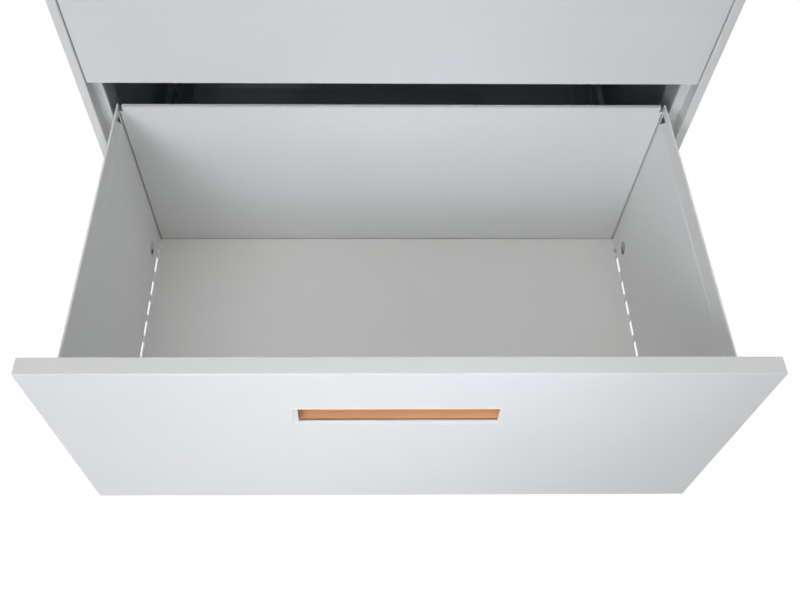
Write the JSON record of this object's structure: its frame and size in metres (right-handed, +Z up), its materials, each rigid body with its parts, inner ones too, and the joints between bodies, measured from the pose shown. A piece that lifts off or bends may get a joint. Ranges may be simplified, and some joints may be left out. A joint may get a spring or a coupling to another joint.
{
  "type": "lateral filing cabinet",
  "caption": "Low lateral filing cabinet in white sheet steel with flush drawers on full-extension ball slides, recessed orange finger pulls and a front lock.",
  "frame": {"origin": "on the floor, below the centre of the whole part as stored with its lower drawer pulled out", "axes": "+X to the right seen from the front, +Y from the front into the cabinet, +Z up"},
  "size_m": [0.8, 0.8866, 0.72],
  "materials": {
    "body_paint": "satin",
    "inner_primer": "matte",
    "zinc_steel": "satin",
    "ball_steel": "polished",
    "lock_chrome": "polished",
    "black_plastic": "matte",
    "buffer_rubber": "matte",
    "weight_iron": "matte",
    "bezel_plastic": "satin",
    "cup_plastic": "satin"
  },
  "bodies": {
    "carcass": {"back_panel": "body_paint", "base_pan": "inner_primer", "closing_buffers": "buffer_rubber", "counterweight": "weight_iron", "left_rear_upright": "inner_primer", "left_side_panel": "body_paint", "levelling_feet": "black_plastic", "lock_bar_guides": "black_plastic", "lock_housing": "lock_chrome", "lower_left_cabinet_rail": "zinc_steel", "lower_right_cabinet_rail": "zinc_steel", "plinth_rail": "body_paint", "right_rear_upright": "inner_primer", "right_side_panel": "body_paint", "top_panel": "body_paint", "upper_left_cabinet_rail": "zinc_steel", "upper_right_cabinet_rail": "zinc_steel"},
    "upper_drawer": {"upper_floor": "body_paint", "upper_front_cover": "body_paint", "upper_front_skin": "body_paint", "upper_handle_bezel": "bezel_plastic", "upper_handle_cup": "cup_plastic", "upper_left_drawer_rail": "zinc_steel", "upper_left_side": "body_paint", "upper_lock_catch": "zinc_steel", "upper_rear_panel": "body_paint", "upper_right_drawer_rail": "zinc_steel", "upper_right_side": "body_paint"},
    "upper_middle_rails": {"upper_left_middle_rail": "zinc_steel", "upper_right_middle_rail": "zinc_steel"},
    "upper_outer_cages": {"upper_outer_ball_cages": "zinc_steel", "upper_outer_balls": "ball_steel"},
    "upper_inner_cages": {"upper_inner_ball_cages": "zinc_steel", "upper_inner_balls": "ball_steel"},
    "lower_drawer": {"lower_floor": "body_paint", "lower_front_cover": "body_paint", "lower_front_skin": "body_paint", "lower_handle_bezel": "bezel_plastic", "lower_handle_cup": "cup_plastic", "lower_left_drawer_rail": "zinc_steel", "lower_left_side": "body_paint", "lower_lock_catch": "zinc_steel", "lower_rear_panel": "body_paint", "lower_right_drawer_rail": "zinc_steel", "lower_right_side": "body_paint"},
    "lower_middle_rails": {"lower_left_middle_rail": "zinc_steel", "lower_right_middle_rail": "zinc_steel"},
    "lower_outer_cages": {"lower_outer_ball_cages": "zinc_steel", "lower_outer_balls": "ball_steel"},
    "lower_inner_cages": {"lower_inner_ball_cages": "zinc_steel", "lower_inner_balls": "ball_steel"},
    "lock_plug": {"lock_plug": "lock_chrome"},
    "lock_bar": {"lock_bar": "zinc_steel"}
  },
  "joints": [
    {"name": "upper_drawer_slide", "type": "slide", "parent": "carcass", "child": "upper_drawer", "axis": [0, -1, 0], "range_m": [0, 0.416]},
    {"name": "upper_middle_rails_slide", "type": "slide", "parent": "carcass", "child": "upper_middle_rails", "axis": [0, -1, 0], "range_m": [0, 0.208]},
    {"name": "upper_outer_cages_slide", "type": "slide", "parent": "carcass", "child": "upper_outer_cages", "axis": [0, -1, 0], "range_m": [0, 0.104]},
    {"name": "upper_inner_cages_slide", "type": "slide", "parent": "carcass", "child": "upper_inner_cages", "axis": [0, -1, 0], "range_m": [0, 0.312]},
    {"name": "lower_drawer_slide", "type": "slide", "parent": "carcass", "child": "lower_drawer", "axis": [0, -1, 0], "range_m": [-0.416, 0]},
    {"name": "lower_middle_rails_slide", "type": "slide", "parent": "carcass", "child": "lower_middle_rails", "axis": [0, -1, 0], "range_m": [-0.208, 0]},
    {"name": "lower_outer_cages_slide", "type": "slide", "parent": "carcass", "child": "lower_outer_cages", "axis": [0, -1, 0], "range_m": [-0.104, 0]},
    {"name": "lower_inner_cages_slide", "type": "slide", "parent": "carcass", "child": "lower_inner_cages", "axis": [0, -1, 0], "range_m": [-0.312, 0]},
    {"name": "lock_turn", "type": "hinge", "parent": "carcass", "child": "lock_plug", "pos_m": [0.3875, -0.0267, 0.7075], "axis": [0, -1, 0], "range_deg": [0, 90]},
    {"name": "lock_bar_slide", "type": "slide", "parent": "carcass", "child": "lock_bar", "axis": [0, 0, -1], "range_m": [0, 0.0099]}
  ],
  "couplings": [
    {"joint": "upper_middle_rails_slide", "follows": "upper_drawer_slide", "ratio": 0.5},
    {"joint": "upper_outer_cages_slide", "follows": "upper_drawer_slide", "ratio": 0.25},
    {"joint": "upper_inner_cages_slide", "follows": "upper_drawer_slide", "ratio": 0.75},
    {"joint": "lower_middle_rails_slide", "follows": "lower_drawer_slide", "ratio": 0.5},
    {"joint": "lower_outer_cages_slide", "follows": "lower_drawer_slide", "ratio": 0.25},
    {"joint": "lower_inner_cages_slide", "follows": "lower_drawer_slide", "ratio": 0.75},
    {"joint": "lock_turn", "follows": "lock_bar_slide", "rad_per_m": 158.67}
  ]
}
